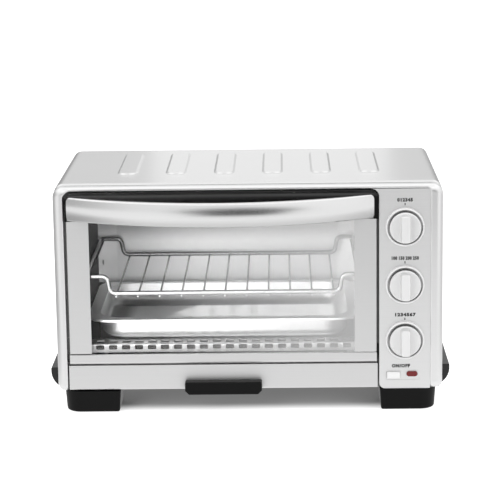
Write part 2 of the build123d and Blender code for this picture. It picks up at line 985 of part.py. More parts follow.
with BuildPart() as indicator_lamp:
    with BuildSketch(upright(lens_back)):
        with Locations((lamp_x, lamp_z)):
            Circle(lamp_r)
    extrude(amount=-(lamp_back - lens_back))
save(indicator_lamp, "indicator_lamp")


def hinge_bracket(plate_x, plate_start):
    """Bracket on the front plate, with the bore for a door pin."""
    foot_x = plate_x + bracket_sheet - bracket_foot_width
    height = bracket_top_z - bracket_bottom_z
    middle_z = (bracket_top_z + bracket_bottom_z) / 2
    with BuildPart() as bracket:
        with BuildSketch(side_on(plate_x)):
            with Locations(((plate_start + plate_front) / 2, middle_z)):
                RectangleRounded(plate_front - plate_start, height, pin_hole_r)
        extrude(amount=bracket_sheet)
        with BuildSketch(upright(plate_front)):
            with Locations((foot_x + bracket_foot_width / 2, middle_z)):
                Rectangle(bracket_foot_width, height - 2 * pin_hole_r)
        extrude(amount=bracket_foot)
        with BuildSketch(side_on(plate_x)):
            with Locations((hinge_depth, hinge_z)):
                Circle(pin_r + pin_play)
        extrude(amount=bracket_sheet, mode=Mode.SUBTRACT)
    return bracket


save(hinge_bracket(left_bracket_x, left_bracket_front), "left_hinge_bracket")
save(hinge_bracket(right_bracket_x, right_bracket_front), "right_hinge_bracket")

# Door: glass held in two clipped stiles, a bottom rail and the handle base
with BuildPart() as door_glass:
    with BuildSketch(upright(glass_front)):
        with Locations((door_middle, (glass_bottom_z + glass_top_z) / 2)):
            Rectangle(door_width - 2 * door_skin, glass_top_z - glass_bottom_z)
    extrude(amount=-glass_thickness)
save(door_glass, "door_glass")

with BuildPart() as left_door_stile:
    with BuildSketch(level(stile_bottom_z)):
        with BuildLine():
            FilletPolyline(
                (door_left + stile_width, door_face),
                (door_left, door_face),
                (door_left, glass_back + door_skin),
                (door_left + stile_clip, glass_back + door_skin),
                radius=door_skin,
            )
            offset(amount=door_skin, side=Side.RIGHT, kind=Kind.INTERSECTION)
        make_face()
    extrude(amount=stile_top_z - stile_bottom_z)
save(left_door_stile, "left_door_stile")

with BuildPart() as right_door_stile:
    mirror(left_door_stile.part, about=Plane.YZ.offset(door_middle))
save(right_door_stile, "right_door_stile")

with BuildPart() as bottom_door_rail:
    with BuildSketch(side_on(door_left)):
        with BuildLine():
            FilletPolyline(
                (rail_face, rail_top_z),
                (rail_face, door_bottom_z),
                (rail_back, door_bottom_z),
                (rail_back, rail_lip_z),
                (glass_back, rail_lip_z),
                (glass_back, glass_bottom_z),
                (glass_front, glass_bottom_z),
                (glass_front, rail_top_z),
                radius=[button_gap, rail_corner, bezel_edge, bezel_edge, 0, 0, 0, 0],
                close=True,
            )
        make_face()
    extrude(amount=door_width)
    for end, inward in ((door_left, 1), (door_right, -1)):
        with BuildSketch(side_on(end)):
            with Locations((hinge_depth, hinge_z)):
                Circle(pin_r)
        extrude(amount=inward * pin_in_rail, mode=Mode.SUBTRACT)
save(bottom_door_rail, "bottom_door_rail")

with BuildPart() as door_hinge_pins:
    with BuildSketch(side_on(door_left - pin_reach)):
        with Locations((hinge_depth, hinge_z)):
            Circle(pin_r)
    extrude(amount=pin_reach + pin_in_rail)
    mirror(about=Plane.YZ.offset(door_middle))
save(door_hinge_pins, "door_hinge_pins")

with BuildPart() as handle_base:
    with BuildSketch(side_on(base_bar_left)):
        with BuildLine():
            FilletPolyline(
                (base_bar_back, base_bar_bottom_z),
                (base_bar_front, base_bar_bottom_z),
                (base_bar_front, base_bar_shelf_z),
                (base_bar_brow, base_bar_slope_z),
                (base_bar_brow, base_bar_top_z),
                (base_bar_back, base_bar_top_z),
                radius=[0, button_gap, bezel_edge, bezel_edge, bezel_edge, 0],
                close=True,
            )
        make_face()
    extrude(amount=base_bar_right - base_bar_left)
    with BuildSketch(upright(base_bar_back)):
        for start, end in ((base_bar_left, handle_left), (handle_right, base_bar_right)):
            with Locations(((start + end) / 2, (base_bar_bottom_z + base_bar_top_z) / 2)):
                Rectangle(end - start, base_bar_top_z - base_bar_bottom_z)
    extrude(amount=base_bar_back - end_block_front)
    with BuildSketch(upright(base_bar_back)):
        add(
            arch(
                base_bar_left,
                base_bar_right,
                base_bar_bottom_z,
                base_bar_top_z,
                base_bar_corner,
                base_bar_corner,
            )
        )
    extrude(amount=base_bar_back - end_block_front, mode=Mode.INTERSECT)
    with BuildSketch(upright(glass_front)):
        with Locations((door_middle, (base_bar_bottom_z + glass_top_z) / 2)):
            Rectangle(door_width - 2 * door_skin, glass_top_z - base_bar_bottom_z)
    extrude(amount=-glass_thickness, mode=Mode.SUBTRACT)
    with BuildSketch(upright(base_bar_back)):
        for screw_x in (handle_left + handle_screw_inset, handle_right - handle_screw_inset):
            with Locations((screw_x, handle_screw_z)):
                Circle(screw_r)
    extrude(amount=base_bar_back - base_bar_front, mode=Mode.SUBTRACT)
save(handle_base, "handle_base")

# Handle: a strip crowned in its height and bowed in its length, folded back along its edges
bow_half = (handle_right - handle_left) / 2
bow_rise = handle_reach + handle_end
bow_r = (bow_half**2 + bow_rise**2) / (2 * bow_rise)
bow_middle = (handle_left + handle_right) / 2
bow_centre = (bow_middle, front_y + bow_r - handle_reach, 0)
sweep_sine = math.sin(math.radians(handle_sweep))
sweep_cosine = math.cos(math.radians(handle_sweep))
handle_top_z = handle_bottom_z + handle_height
handle_middle_z = handle_bottom_z + handle_height / 2
with BuildPart() as door_handle:
    start_plane = Plane(
        origin=bow_centre, x_dir=(-sweep_sine, -sweep_cosine, 0), z_dir=(-sweep_cosine, sweep_sine, 0)
    )
    with BuildSketch(start_plane) as handle_section:
        with BuildLine():
            crown = ThreePointArc(
                (bow_r - handle_crown, handle_bottom_z),
                (bow_r, handle_middle_z),
                (bow_r - handle_crown, handle_top_z),
            )
            Polyline(
                crown @ 1,
                (bow_r - handle_fold, handle_top_z),
                (bow_r - handle_fold, handle_bottom_z),
                crown @ 0,
            )
        make_face()
        fillet(handle_section.vertices().sort_by(Axis.X)[-2:], handle_edge)
        offset(amount=-handle_skin, mode=Mode.SUBTRACT)
        with Locations((bow_r - handle_fold, handle_middle_z)):
            Rectangle(3 * handle_skin, handle_height - 2 * handle_skin, mode=Mode.SUBTRACT)
    revolve(axis=Axis(bow_centre, (0, 0, 1)), revolution_arc=2 * handle_sweep)
    with BuildSketch(upright(base_bar_front)):
        add(
            arch(
                handle_left,
                handle_right,
                handle_bottom_z + handle_trim,
                handle_top_z - handle_trim,
                handle_corner,
                handle_corner,
                handle_foot_corner,
            )
        )
    extrude(amount=handle_reach + handle_fold, mode=Mode.INTERSECT)
save(door_handle, "door_handle")


def pan_head_screws(places, head_back):
    """Screws with their heads behind an upright face and their shanks running forward."""
    with BuildPart() as screws:
        with BuildSketch(upright(head_back)):
            with Locations(places):
                Circle(screw_head_r)
        extrude(amount=-screw_head, taper=screw_taper)
        with BuildSketch(upright(head_back)):
            with Locations(places):
                Circle(screw_r)
        extrude(amount=screw_length)
    return screws


save(pan_head_screws(screw_places, shell_depth), "cover_screws")
handle_screw_places = [
    (handle_left + handle_screw_inset, handle_screw_z),
    (handle_right - handle_screw_inset, handle_screw_z),
]

with BuildPart() as handle_screws:
    with BuildSketch(upright(base_bar_back)):
        with Locations(handle_screw_places):
            Circle(screw_head_r - bezel_edge)
    extrude(amount=-screw_head, taper=screw_taper)
    with BuildSketch(upright(base_bar_back)):
        with Locations(handle_screw_places):
            Circle(screw_r)
    extrude(amount=base_bar_back - base_bar_front)
save(handle_screws, "handle_screws")

# Rack: one bent loop of wire, raised along both sides, with thinner wires welded under its bed
rack_left = cavity_middle - rack_half_width
rack_right = cavity_middle + rack_half_width


def rack_end(depth):
    """Corner points of the loop's front or rear wire, from left to right."""
    inner_left = rack_left + rack_left_hump
    inner_right = rack_right - rack_right_hump
    return [
        (rack_left, front_y + depth, rack_side_z),
        (inner_left, front_y + depth, rack_side_z),
        (inner_left + rack_slope, front_y + depth, rack_bed_z),
        (inner_right - rack_slope, front_y + depth, rack_bed_z),
        (inner_right, front_y + depth, rack_side_z),
        (rack_right, front_y + depth, rack_side_z),
    ]


rack_bed_middle = (rack_left + rack_left_hump + rack_right - rack_right_hump) / 2
cross_wire_z = rack_bed_z - rack_wire_r - cross_wire_r + cross_wire_bite
cross_wire_length = rack_back - rack_front + 2 * cross_wire_stub
with BuildPart() as wire_rack:
    with BuildLine() as loop:
        FilletPolyline(*rack_end(rack_front), *reversed(rack_end(rack_back)), radius=rack_bend, close=True)
    with BuildSketch(Plane(origin=loop.line @ 0, z_dir=loop.line % 0)):
        Circle(rack_wire_r)
    sweep(path=loop.line)
    with BuildSketch(upright(rack_front - cross_wire_stub)):
        with Locations((rack_bed_middle, cross_wire_z)):
            with GridLocations(cross_wire_pitch, 0, cross_wire_count, 1):
                Circle(cross_wire_r)
    extrude(amount=-cross_wire_length)
save(wire_rack, "wire_rack")

# Baking pan: flared sides, rounded floor and a flat rim rolled down at its edge
pan_middle = (cavity_middle, (pan_front + pan_back) / 2)
rim_length = pan_back - pan_front
rim_margin = rim_half_width - pan_half_width


def pan_block(inset):
    """Solid of the pan's bowl, set in by the given thickness."""
    with BuildPart() as block:
        with BuildSketch(level(pan_rim_z)):
            with Locations(pan_middle):
                RectangleRounded(
                    2 * (pan_half_width - inset), rim_length - 2 * (rim_margin + inset), pan_corner - inset
                )
        extrude(amount=inset - pan_depth, taper=pan_flare)
        fillet(block.faces().sort_by(Axis.Z)[0].edges(), pan_floor_r - inset)
    return block.part


def rim_frame(thickness, inner_half_width, inner_length, inner_corner):
    """Flat frame between the rim's edge and an inner outline, downward from the rim's top."""
    with BuildPart() as frame:
        with BuildSketch(level(pan_rim_z)):
            with Locations(pan_middle):
                RectangleRounded(2 * rim_half_width, rim_length, rim_corner)
                RectangleRounded(2 * inner_half_width, inner_length, inner_corner, mode=Mode.SUBTRACT)
        extrude(amount=-thickness)
    return frame.part


bowl_length = rim_length - 2 * rim_margin
with BuildPart() as baking_pan:
    add(pan_block(0))
    add(
        rim_frame(
            pan_sheet, pan_half_width - pan_sheet, bowl_length - 2 * pan_sheet, pan_corner - pan_sheet
        )
    )
    add(
        rim_frame(
            rim_roll,
            rim_half_width - rim_roll_width,
            rim_length - 2 * rim_roll_width,
            rim_corner - rim_roll_width,
        )
    )
    add(pan_block(pan_sheet), mode=Mode.SUBTRACT)
save(baking_pan, "baking_pan")

# Crumb tray: a flat sheet hemmed on three sides, with a tab turned up behind its pull
with BuildPart() as crumb_tray:
    with BuildSketch(level(tray_z)):
        with Locations((cavity_middle, (tray_front + tray_back) / 2)):
            Rectangle(2 * tray_half_width, tray_back - tray_front)
        with Locations((cavity_middle, (tray_tab_front + tray_front) / 2)):
            Rectangle(2 * tray_tab_half_width, tray_front - tray_tab_front)
    extrude(amount=tray_sheet)
    with BuildSketch(level(tray_z + tray_sheet)):
        with Locations((cavity_middle, (tray_front + tray_back) / 2)):
            Rectangle(2 * tray_half_width, tray_back - tray_front)
        with Locations((cavity_middle, (tray_front + tray_back - tray_hem) / 2)):
            Rectangle(2 * (tray_half_width - tray_hem), tray_back - tray_front - tray_hem, mode=Mode.SUBTRACT)
    extrude(amount=tray_hem_rise)
    with BuildSketch(upright(tray_tab_front)):
        with Locations((cavity_middle, (tray_z + tray_tab_top_z) / 2)):
            Rectangle(2 * tray_tab_half_width, tray_tab_top_z - tray_z)
    extrude(amount=-tray_sheet)
save(crumb_tray, "crumb_tray")

with BuildPart() as crumb_tray_handle:
    with BuildSketch(upright(tray_tab_front)):
        with BuildLine():
            FilletPolyline(
                (cavity_middle - pull_half_width, pull_top_z),
                (cavity_middle + pull_half_width, pull_top_z),
                (cavity_middle + pull_half_width, pull_bottom_z + pull_corner),
                (cavity_middle + pull_half_width - pull_corner, pull_bottom_z),
                (cavity_middle - pull_half_width + pull_corner, pull_bottom_z),
                (cavity_middle - pull_half_width, pull_bottom_z + pull_corner),
                radius=[pull_top_corner, pull_top_corner, 1, 1, 1, 1],
                close=True,
            )
        make_face()
    extrude(amount=tray_tab_front - pull_front)
    fillet(crumb_tray_handle.faces().sort_by(Axis.Y)[0].edges(), pull_edge)
    with BuildSketch(level(pull_bottom_z)):
        with Locations((cavity_middle, (pull_front + tray_tab_front) / 2)):
            Rectangle(2 * (pull_half_width - 2 * pull_wall), tray_tab_front - pull_front - 2 * pull_wall)
    extrude(amount=(pull_top_z - pull_bottom_z) / 2, mode=Mode.SUBTRACT)
save(crumb_tray_handle, "crumb_tray_handle")

# Front feet: tapered blocks with a large outer corner and a lip in front of the base
with BuildPart() as front_left_foot:
    with BuildSketch(level(foot_top_z)):
        with BuildLine():
            FilletPolyline(
                (foot_left, foot_front),
                (foot_right, foot_front),
                (foot_right, foot_back),
                (foot_left, foot_back),
                radius=[foot_plan_corner, foot_corner, foot_corner, foot_corner],
                close=True,
            )
        make_face()
    extrude(amount=-foot_top_z, taper=foot_taper)
    fillet(front_left_foot.faces().sort_by(Axis.Z)[0].edges(), foot_edge)
    with BuildSketch(level(base_z)):
        with Locations((foot_left, foot_step)):
            Rectangle(2 * (foot_right - foot_left), 2 * foot_back, align=(Align.CENTER, Align.MIN))
    extrude(amount=foot_top_z - base_z, mode=Mode.SUBTRACT)
save(front_left_foot, "front_left_foot")

with BuildPart() as front_right_foot:
    mirror(front_left_foot.part, about=Plane.YZ)
save(front_right_foot, "front_right_foot")

with BuildPart() as rear_left_foot:
    with BuildSketch(level(base_z)):
        with BuildLine():
            FilletPolyline(
                (foot_left, rear_foot_front),
                (rear_foot_right, rear_foot_front),
                (rear_foot_right, rear_foot_back),
                (foot_left, rear_foot_back),
                radius=[foot_corner, foot_corner, foot_corner, foot_plan_corner],
                close=True,
            )
        make_face()
    extrude(amount=-base_z, taper=foot_taper)
    fillet(rear_left_foot.faces().sort_by(Axis.Z)[0].edges(), foot_edge)
save(rear_left_foot, "rear_left_foot")

with BuildPart() as rear_right_foot:
    mirror(rear_left_foot.part, about=Plane.YZ)
save(rear_right_foot, "rear_right_foot")

# Side bumpers: flat on top, rounded below, low on each side behind the trim
with BuildPart() as left_side_bumper:
    with BuildSketch(upright(bumper_front)):
        with BuildLine():
            top_line = Line((-half_shell, bumper_top_z), (-half_shell - bumper_out, bumper_top_z))
            flank_line = Line(top_line @ 1, (-half_shell - bumper_out, bumper_top_z - bumper_flank))
            under_arc = TangentArc(flank_line @ 1, (-half_shell, bumper_bottom_z), tangent=flank_line % 1)
            Line(under_arc @ 1, top_line @ 0)
        make_face()
    extrude(amount=-bumper_length)
    fillet(left_side_bumper.edges().filter_by(Axis.Y).sort_by(Axis.Z)[-2:].sort_by(Axis.X)[0], bumper_edge)
save(left_side_bumper, "left_side_bumper")

with BuildPart() as right_side_bumper:
    mirror(left_side_bumper.part, about=Plane.YZ)
save(right_side_bumper, "right_side_bumper")
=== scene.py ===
import math
import bpy
from mathutils import Matrix, Vector


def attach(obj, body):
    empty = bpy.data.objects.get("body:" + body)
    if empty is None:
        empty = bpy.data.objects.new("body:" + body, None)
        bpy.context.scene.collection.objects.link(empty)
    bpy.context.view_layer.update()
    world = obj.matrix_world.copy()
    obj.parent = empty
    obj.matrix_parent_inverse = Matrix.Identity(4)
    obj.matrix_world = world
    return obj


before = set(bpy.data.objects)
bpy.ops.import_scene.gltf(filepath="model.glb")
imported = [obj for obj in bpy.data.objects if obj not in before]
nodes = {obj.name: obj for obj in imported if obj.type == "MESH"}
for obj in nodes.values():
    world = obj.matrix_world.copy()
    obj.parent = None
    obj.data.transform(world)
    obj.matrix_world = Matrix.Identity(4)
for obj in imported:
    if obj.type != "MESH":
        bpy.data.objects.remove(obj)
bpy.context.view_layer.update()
MM = 0.001
WHITE = (1, 1, 1, 1)

# Headings in the oven's own frame
UP = (0, 0, 1)
DOWN = (0, 0, -1)
BACK = (0, 1, 0)

# Turn that stands a flat piece up to face the front
UPRIGHT = (math.pi / 2, 0, 0)

# Camera fitted to the photograph: place, lens and sensor in millimetres, range of sight in metres
CAMERA_PLACE = (35.4, -2193.1, 606.0)
CAMERA_YAW = math.radians(-0.888)
CAMERA_TILT = math.radians(11.71)
CAMERA_ROLL = math.radians(-0.775)
CAMERA_LENS = 149.3
CAMERA_SENSOR = 36.0
CAMERA_RANGE = (0.1, 100)

# Print on the control panel, in millimetres
INK_LIFT = 0.06
INK_HEIGHT = 3.9
TICK_SIZE = (0.9, 2.4)

# Cut of the letters: thickening in parts of their size, spacing against the font's own, steps in a curve
LETTER_BOLDNESS = 0.07
LETTER_SPACING = 1.2
WORD_SPACING = 0.7
LETTER_CURVE_STEPS = 3

# For each knob: its numbers, their width, and how far they and the index line stand over its middle
DIAL_PRINT = {
    "function_knob": ("012345", 16.0, 27.9, 23.6),
    "temperature_knob": ("100 150 200 250", 28.0, 27.4, 23.2),
    "shade_knob": ("1234567", 21.5, 26.5, 22.1),
}
# For the button: its words, their width, and how far they stand to the right of its middle and over it
BUTTON_PRINT = ("ON/OFF", 19.0, 7.7, 9.5)

# Grain of the finishes: scales of its patterns per metre, one for each axis where they are drawn out
BRUSHED_ACROSS = (9, 1500, 1500)
BRUSHED_FRONT_TO_BACK = (1500, 9, 1500)
BRUSHED_CLOUD = 8.0
MOULD_SPECKLE = 1400.0
MOULD_CLOUD = 25.0
SHEET_CELLS = 220.0
SHEET_CLOUD = 14.0
SHEET_MARKS = (60, 900, 900)
GLASS_SMEARS = (7, 20, 30)

# Shares of the finer pattern in each mix, the noise over which a handling mark shows,
# and the X of a normal over which a face counts as a side of the oven
STREAK_SHARE = 0.7
CELL_SHARE = 0.4
MARK_LEVEL = 0.72
SIDEWAYS_FACING = 0.7

# Depth of the grain, in metres, and how strongly rolled sheet shows it
GRAIN_DEPTH = 0.0002
SHEET_DEPTH = 0.0003
SHEET_RELIEF = 0.05

# Where finishes change (coat of the handle base, scoured pan floor) and where painted shade comes in (all
# others):
# start and end along a heading from a corner of a piece's box, in millimetres times the heading's length
HANDLE_LOWER_EDGE = (-9.65, -1.65)
BASE_UPPER_EDGE = (-7.0, -4.0)
KNOB_SKIRT = (11.7, 13.2)
CAVITY_TOP = (-90.0, -68.0)
BEHIND_RACK_FRONT = (4.5, 8.5)
PAN_FOOT_HEADING = (-0.01, 1, -1)
PAN_FOOT = (-4.445, 3.555)
PAN_LEFT_HEADING = (-1, 0, -8)
PAN_LEFT_END = (-55.3, -37.3)
PAN_FLOOR = (2.1, 6.6)

# Door glass: tints, bending of light, and a painted reflection on its outer face that comes in from left to
# right, its start and end in millimetres from the right end of the pane
GLASS_TINT = 0.98
GLASS_SHADE = 0.94
GLASS_IOR = 1.2
GLASS_ROUGHEST = 0.04
REFLECTION_TINT = 0.92
REFLECTION_ROUGHNESS = 0.04
REFLECTION_ACROSS = (-231.0, -1.0)
REFLECTION_SHARE = 0.50

# Brightness of the studio as metal mirrors it, with a backdrop that is darker low down
STUDIO = 0.9
BACKDROP_HEADING = (0, 1, 0.1)
BACKDROP_CONE = (0.6, 0.95)
BACKDROP_RISE = (0.06, 0.19)
BACKDROP_LEVELS = (0.2, 0.65)

# Zones laid over it one by one: heading, cosines at which the zone starts and is full, brightness
STUDIO_ZONES = {
    "left": ((-1, 0.2, 0), (0.35, 0.95), 0.42),
    "front right": ((0.75, -1, 0.2), (0.82, 0.96), 1.02),
    "above": (UP, (0.35, 0.85), 1.25),
    "straight above": (UP, (0.93, 0.985), 0.92),
}

# Dark part of the studio behind the camera as metal mirrors it: heading, cosines, flatness, brightness
DARK_HEADING = (0.12, -1, -0.06)
DARK_CONE = (0.85, 0.965)
DARK_FLATNESS = 1.6
STUDIO_DARK = 0.05

# Dark patch of the floor far out in front: its middle and half width in metres to the side for each
# metre ahead, where it starts and is full in metres ahead, and its brightness
DARK_SLANT = 0.12
DARK_WIDTH = (0.16, 0.48)
DARK_AHEAD = (1.1, 1.6)
NEAREST_AHEAD = 0.1
FLOOR_DARK = 0.02

# Even light that dull surfaces get from all round
AMBIENT = 0.4

# Pale floor, its size in metres; its colour is darker under the oven as painted shadow
FLOOR_SIZE = 60.0
FLOOR_SHADED = 0.47
FLOOR_PALE = 0.84
FLOOR_ROUGHNESS = 0.9
FLOOR_SPECULAR = 0.1

# Shaded place under the oven, in millimetres: reach ahead of the trim and behind the shell, and fade
SHADE_AHEAD = 10.0
SHADE_BEHIND = 1.0
SHADE_FADE = 45.0

# Brightness of the floor as metal mirrors it: bright ahead of the oven, dim beside it; places in metres
FLOOR_BRIGHT = 1.0
FLOOR_LEFT = 0.45
FLOOR_RIGHT = 0.68
BESIDE_FROM = 0.25
BESIDE_FULL = 0.55
BEHIND_FRONT = (-0.5, -0.25)

# Brightness as seen through the glass: the floor from left to right, between places in metres,
# and the surround, bright at the front left and dim elsewhere
INSIDE_FLOOR_X = (0.05, 0.5)
INSIDE_FLOOR = (2.2, 0.35)
INSIDE_HEADING = (-0.4, -0.9, 0.12)
INSIDE_CONE = (0.55, 0.92)
INSIDE_DIM = 0.3
INSIDE_BRIGHT = 4.2


def corner_of(name, pick):
    """One corner of a CAD piece's box at rest, in millimetres; pick is min or max."""
    return Vector(map(pick, zip(*nodes[name].bound_box))) / MM


def low_of(name):
    """Low corner of a CAD piece's box."""
    return corner_of(name, min)


def high_of(name):
    """High corner of a CAD piece's box."""
    return corner_of(name, max)


def middle_of(name):
    """Middle of a CAD piece's box."""
    return (low_of(name) + high_of(name)) / 2


def place_camera():
    """Stand the camera where the photograph was taken."""
    ahead = Vector(
        (
            math.sin(CAMERA_YAW) * math.cos(CAMERA_TILT),
            math.cos(CAMERA_YAW) * math.cos(CAMERA_TILT),
            -math.sin(CAMERA_TILT),
        )
    )
    level_right = Vector((math.cos(CAMERA_YAW), -math.sin(CAMERA_YAW), 0))
    level_up = level_right.cross(ahead)
    right = math.cos(CAMERA_ROLL) * level_right + math.sin(CAMERA_ROLL) * level_up
    up = math.cos(CAMERA_ROLL) * level_up - math.sin(CAMERA_ROLL) * level_right
    turn = Matrix((right, up, -ahead)).transposed().to_4x4()
    lens = bpy.data.cameras.new("photo_camera")
    lens.lens = CAMERA_LENS
    lens.sensor_width = CAMERA_SENSOR
    lens.clip_start, lens.clip_end = CAMERA_RANGE
    camera = bpy.data.objects.new("photo_camera", lens)
    bpy.context.scene.collection.objects.link(camera)
    camera.matrix_world = Matrix.Translation(Vector(CAMERA_PLACE) * MM) @ turn
    bpy.context.scene.camera = camera


def add(tree, kind, **values):
    """Add a shader node; values name its settings, or its inputs with spaces as underscores."""
    node = tree.nodes.new(kind)
    for key, value in values.items():
        socket = node.inputs.get(key.replace("_", " "))
        if socket is not None:
            socket.default_value = value
        else:
            setattr(node, key, value)
    return node


def feed(tree, socket, value):
    """Link another socket to an input, or set the input to a plain value."""
    if isinstance(value, bpy.types.NodeSocket):
        tree.links.new(value, socket)
    else:
        socket.default_value = value


def math_node(tree, operation, first, second=None):
    """One step of arithmetic on values or sockets; returns its result."""
    node = add(tree, "ShaderNodeMath", operation=operation)
    feed(tree, node.inputs[0], first)
    if second is not None:
        feed(tree, node.inputs[1], second)
    return node.outputs[0]


def blend(tree, factor, first, second):
    """A number between two values or sockets, by a factor from 0 to 1."""
    node = add(tree, "ShaderNodeMix", data_type="FLOAT")
    tree.links.new(factor, node.inputs["Factor"])
    feed(tree, node.inputs["A"], first)
    feed(tree, node.inputs["B"], second)
    return node.outputs["Result"]


def weigh(tree, first, share, second):
    """A sum of two values of which the first makes up the given share."""
    return math_node(
        tree,
        "ADD",
        math_node(tree, "MULTIPLY", first, share),
        math_node(tree, "MULTIPLY", second, 1.0 - share),
    )


def spread(tree, value, low, high):
    """Stretch a value that runs from 0 to 1 so that it runs from low to high."""
    node = add(tree, "ShaderNodeMapRange", To_Min=low, To_Max=high)
    tree.links.new(value, node.inputs["Value"])
    return node.outputs["Result"]


def ramp(tree, value, start, end, low=0.0, high=1.0):
    """A smooth step of a value: low up to the start, high from the end on."""
    node = add(
        tree,
        "ShaderNodeMapRange",
        interpolation_type="SMOOTHSTEP",
        From_Min=start,
        From_Max=end,
        To_Min=low,
        To_Max=high,
    )
    tree.links.new(value, node.inputs["Value"])
    return node.outputs["Result"]


def tint(tree, value, dark, light):
    """A colour that runs from dark to light with a value from 0 to 1."""
    node = add(tree, "ShaderNodeMix", data_type="RGBA")
    tree.links.new(value, node.inputs["Factor"])
    node.inputs["A"].default_value = (*dark, 1)
    node.inputs["B"].default_value = (*light, 1)
    return node.outputs["Result"]


def grey(value):
    """The same number for red, green and blue."""
    return (value, value, value)


def object_place(tree):
    """Where a point lies in its piece's own frame, in metres."""
    return add(tree, "ShaderNodeTexCoord").outputs["Object"]


def axes(tree, vector):
    """The X, Y and Z of a vector."""
    node = add(tree, "ShaderNodeSeparateXYZ")
    tree.links.new(vector, node.inputs[0])
    return node.outputs


def stretched(tree, vector, scale):
    """Coordinates scaled differently along each axis."""
    node = add(tree, "ShaderNodeMapping", Scale=scale)
    tree.links.new(vector, node.inputs["Vector"])
    return node.outputs["Vector"]


def project(tree, vector, heading):
    """The dot product of a vector and a heading."""
    node = add(tree, "ShaderNodeVectorMath", operation="DOT_PRODUCT")
    node.inputs[1].default_value = heading
    tree.links.new(vector, node.inputs[0])
    return node.outputs["Value"]


def along(tree, heading):
    """How far a point of a piece lies along a heading, in metres times the heading's length."""
    return project(tree, object_place(tree), heading)


def towards(tree, vector, heading):
    """How nearly a vector points along a heading: 1 when it does, 0 when square to it."""
    unit = add(tree, "ShaderNodeVectorMath", operation="NORMALIZE")
    tree.links.new(vector, unit.inputs[0])
    return project(tree, unit.outputs["Vector"], Vector(heading).normalized())


def noise(tree, vector, scale=1.0, detail=2.0, rough=0.5):
    """A noise pattern on the given coordinates, from 0 to 1."""
    node = add(tree, "ShaderNodeTexNoise", Scale=scale, Detail=detail, Roughness=rough)
    tree.links.new(vector, node.inputs["Vector"])
    return node.outputs["Fac"]


def new_group(name, **outputs):
    """A shader node group; each output is a number, given by the pattern function of its name."""
    tree = bpy.data.node_groups.new(name, "ShaderNodeTree")
    for output in outputs:
        tree.interface.new_socket(output, in_out="OUTPUT", socket_type="NodeSocketFloat")
    out = tree.nodes.new("NodeGroupOutput")
    for output, pattern in outputs.items():
        tree.links.new(pattern(tree), out.inputs[output])
    return tree


def brushing(tree):
    """Brushing lines: across the oven on front and top, front to back on its sides."""
    where = add(tree, "ShaderNodeTexCoord")
    across, front_to_back = (
        noise(tree, stretched(tree, where.outputs["Object"], scale), detail=3.0, rough=0.6)
        for scale in (BRUSHED_ACROSS, BRUSHED_FRONT_TO_BACK)
    )
    facing = math_node(tree, "ABSOLUTE", axes(tree, where.outputs["Normal"])["X"])
    sideways = math_node(tree, "GREATER_THAN", facing, SIDEWAYS_FACING)
    return blend(tree, sideways, across, front_to_back)


def brushing_cloud(tree):
    """Slow change of tone over brushed metal."""
    return noise(tree, object_place(tree), BRUSHED_CLOUD)


def mould_speckle(tree):
    """Fine spark-eroded texture of moulded plastic."""
    return noise(tree, object_place(tree), MOULD_SPECKLE, detail=3.0, rough=0.6)


def mould_cloud(tree):
    """Slow change in the gloss of moulded plastic."""
    return noise(tree, object_place(tree), MOULD_CLOUD)


def sheet_mottle(tree):
    """Faint mottling of rolled and coated sheet."""
    where = object_place(tree)
    cells = add(tree, "ShaderNodeTexVoronoi", Scale=SHEET_CELLS, Randomness=1.0)
    tree.links.new(where, cells.inputs["Vector"])
    tone = add(tree, "ShaderNodeSeparateColor")
    tree.links.new(cells.outputs["Color"], tone.inputs[0])
    return weigh(tree, tone.outputs[0], CELL_SHARE, noise(tree, where, SHEET_CLOUD, detail=3.0))


def sheet_mark(tree):
    """A few long handling marks on sheet."""
    marks = noise(tree, stretched(tree, object_place(tree), SHEET_MARKS), detail=1.0)
    return math_node(tree, "GREATER_THAN", marks, MARK_LEVEL)


BRUSHED = new_group("brushed_grain", Streak=brushing, Cloud=brushing_cloud)
MOULDED = new_group("moulded_grain", Speckle=mould_speckle, Cloud=mould_cloud)
ROLLED = new_group("rolled_sheet", Mottle=sheet_mottle, Mark=sheet_mark)


def principled(made):
    """The Principled shader of a material."""
    return made.node_tree.nodes["Principled BSDF"]


def new_material(name):
    """A material with its node tree and its Principled shader, ready for wiring."""
    made = bpy.data.materials.new(name)
    made.use_nodes = True
    return made, made.node_tree, principled(made)


def set_plain(made, socket, value):
    """Set a number or colour that is the same all over a finish on its shader's own socket."""
    principled(made).inputs[socket].default_value = value


def use_group(tree, group):
    """Place a shared pattern in a material."""
    node = tree.nodes.new("ShaderNodeGroup")
    node.node_tree = group
    return node.outputs


def bump(tree, shader, height, strength, distance):
    """Raise a surface's fine relief from a height pattern."""
    node = add(tree, "ShaderNodeBump", Strength=strength, Distance=distance)
    tree.links.new(height, node.inputs["Height"])
    tree.links.new(node.outputs["Normal"], shader.inputs["Normal"])


def mix_shaders(tree, factor, first, second):
    """A mix of two shaders by a factor from 0 to 1."""
    node = add(tree, "ShaderNodeMixShader")
    for socket, value in zip(node.inputs, (factor, first, second)):
        tree.links.new(value, socket)
    return node.outputs[0]


def wear_shader(tree, shader):
    """Make a shader the one that a material's surface shows."""
    tree.links.new(shader, tree.nodes["Material Output"].inputs["Surface"])


def brushed_steel(name, tone, rough, relief):
    """Stainless steel with brushing lines: ranges of tone and roughness, and strength of the lines."""
    made, tree, shader = new_material(name)
    grain = use_group(tree, BRUSHED)
    set_plain(made, "Metallic", 1.0)
    mixed = weigh(tree, grain["Streak"], STREAK_SHARE, grain["Cloud"])
    tree.links.new(tint(tree, mixed, *map(grey, tone)), shader.inputs["Base Color"])
    tree.links.new(spread(tree, mixed, *rough), shader.inputs["Roughness"])
    bump(tree, shader, grain["Streak"], relief, GRAIN_DEPTH)
    return made


